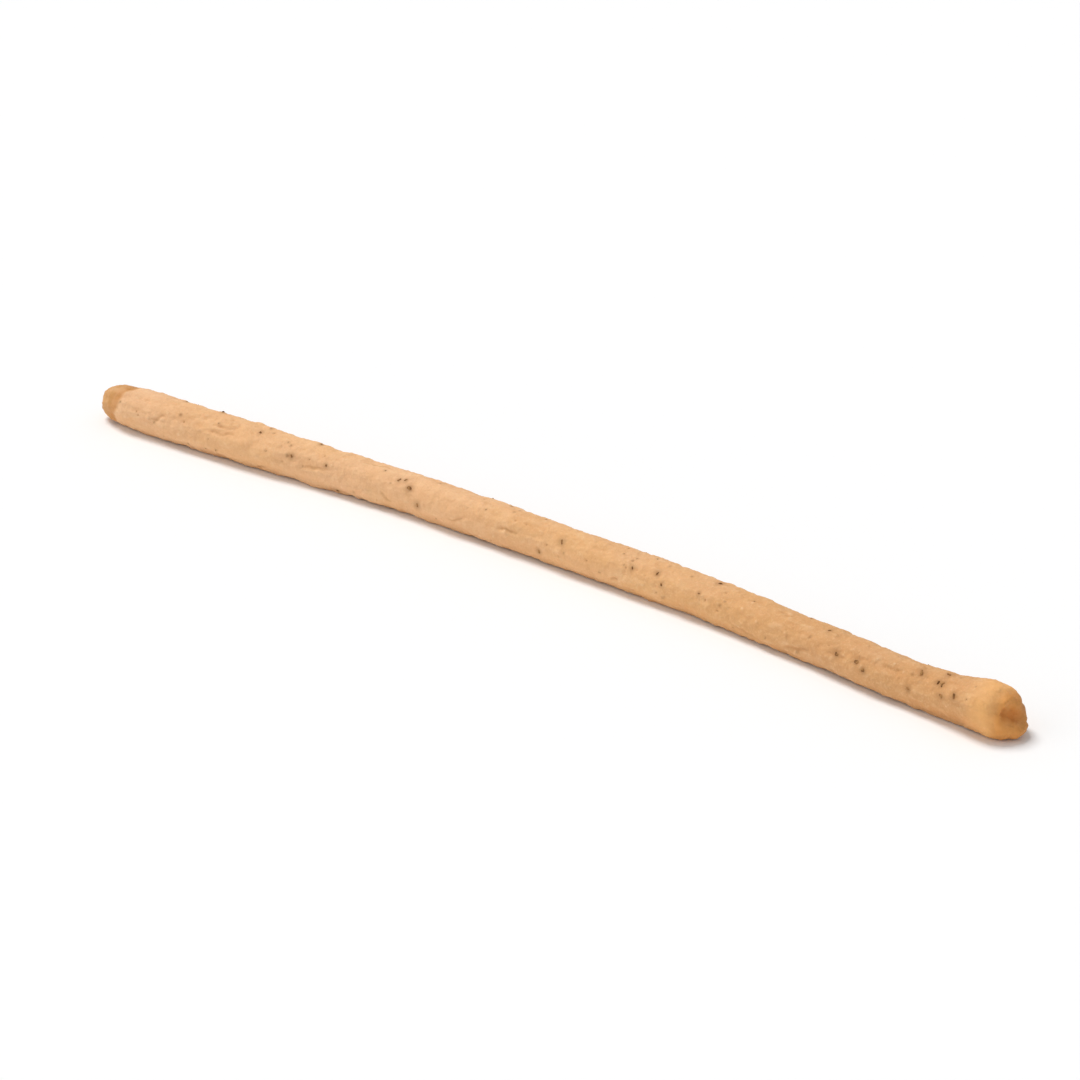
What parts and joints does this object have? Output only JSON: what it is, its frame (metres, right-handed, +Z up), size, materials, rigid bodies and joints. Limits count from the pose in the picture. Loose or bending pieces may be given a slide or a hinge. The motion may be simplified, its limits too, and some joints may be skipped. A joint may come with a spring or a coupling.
{
  "type": "grissini breadstick",
  "caption": "Thin hand-rolled crisp breadstick, gently bowed, with one rounded plain end, one swollen pinched end and a narrow flat underside it rests on.",
  "frame": {"origin": "centre of the bounding box at its bottom, on the surface that the stick lies on", "axes": "+Z up from the flat underside, +X along the stick towards its swollen pinched end, +Y towards the side that the stick bows to"},
  "size_m": [0.2218, 0.014, 0.0095],
  "materials": {
    "crust": "matte"
  },
  "bodies": {
    "root": {"breadstick": "crust"}
  },
  "joints": []
}
